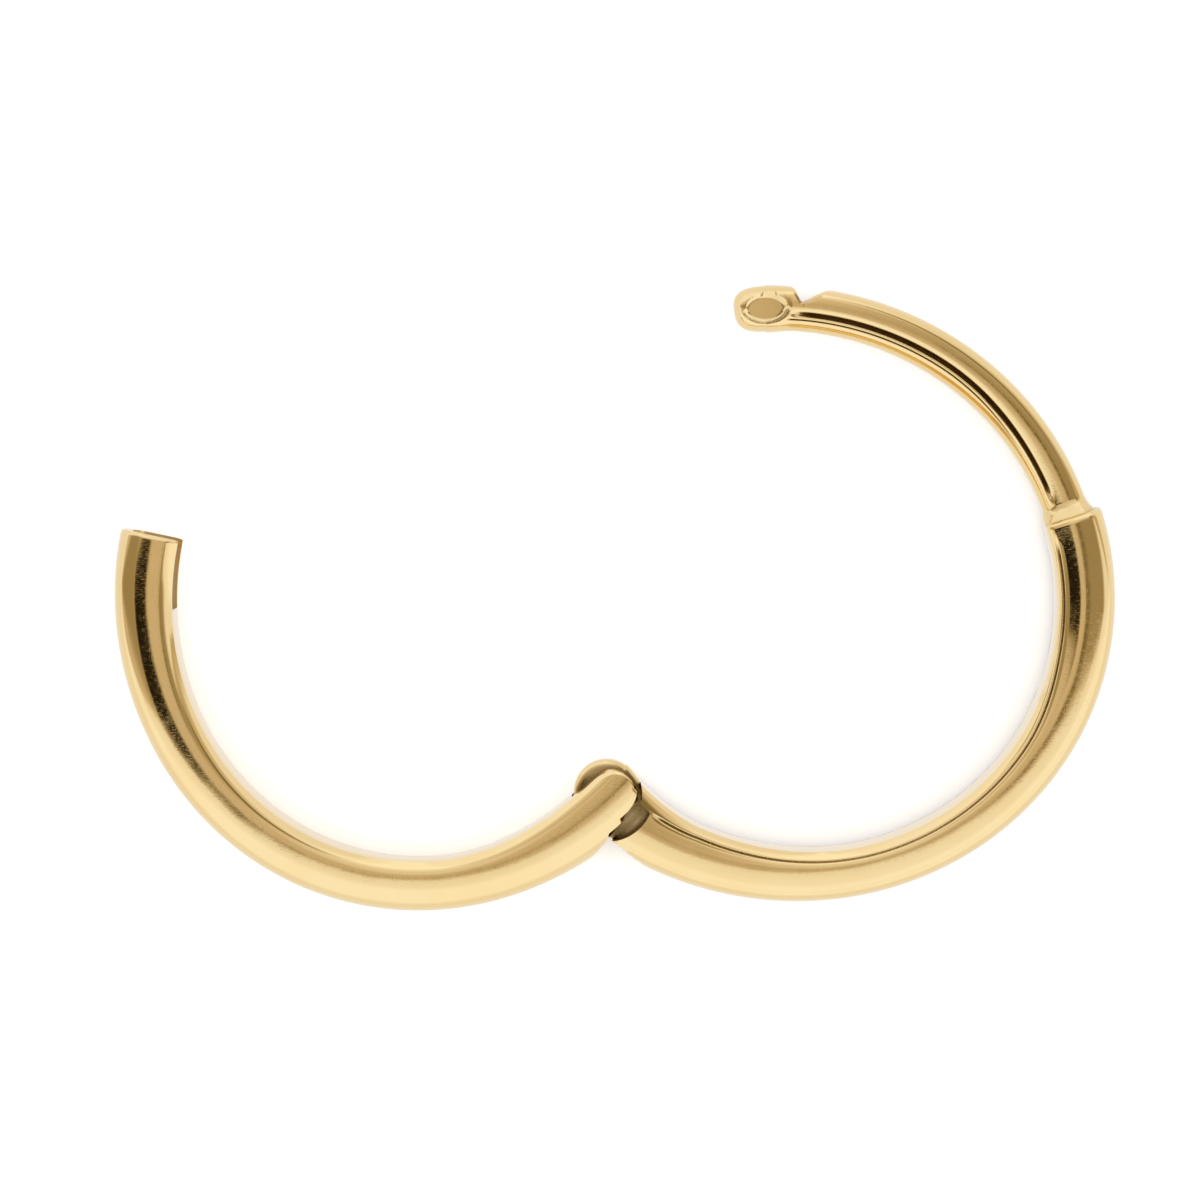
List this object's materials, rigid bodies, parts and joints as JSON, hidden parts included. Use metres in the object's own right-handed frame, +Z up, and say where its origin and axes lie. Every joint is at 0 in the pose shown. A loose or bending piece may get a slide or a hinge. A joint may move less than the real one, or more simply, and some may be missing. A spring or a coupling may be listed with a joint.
{
  "type": "hinged huggie earring",
  "caption": "Small oval hinged huggie hoop in polished gold, lying open on its side: domed band, notched snap post, channel catch and hidden hinge pin.",
  "frame": {"origin": "the hinge axis at the flat underside that the earring lies on", "axes": "+Z up from the surface along the hinge axis, +X from the free end of the front half towards the back half, +Y towards the open side where the post's tip is"},
  "size_m": [0.0225, 0.0141, 0.0018],
  "materials": {
    "polished_gold": "polished yellow gold",
    "pin_gold": "dressed flush, satin"
  },
  "bodies": {
    "back": {"back_half": "polished_gold"},
    "front": {"front_half": "polished_gold", "hinge_pin": "pin_gold"}
  },
  "joints": [
    {"name": "hinge", "type": "hinge", "parent": "back", "child": "front", "pos_m": [0, 0, 0], "axis": [0, 0, -1], "range_deg": [0, 82.6]}
  ]
}
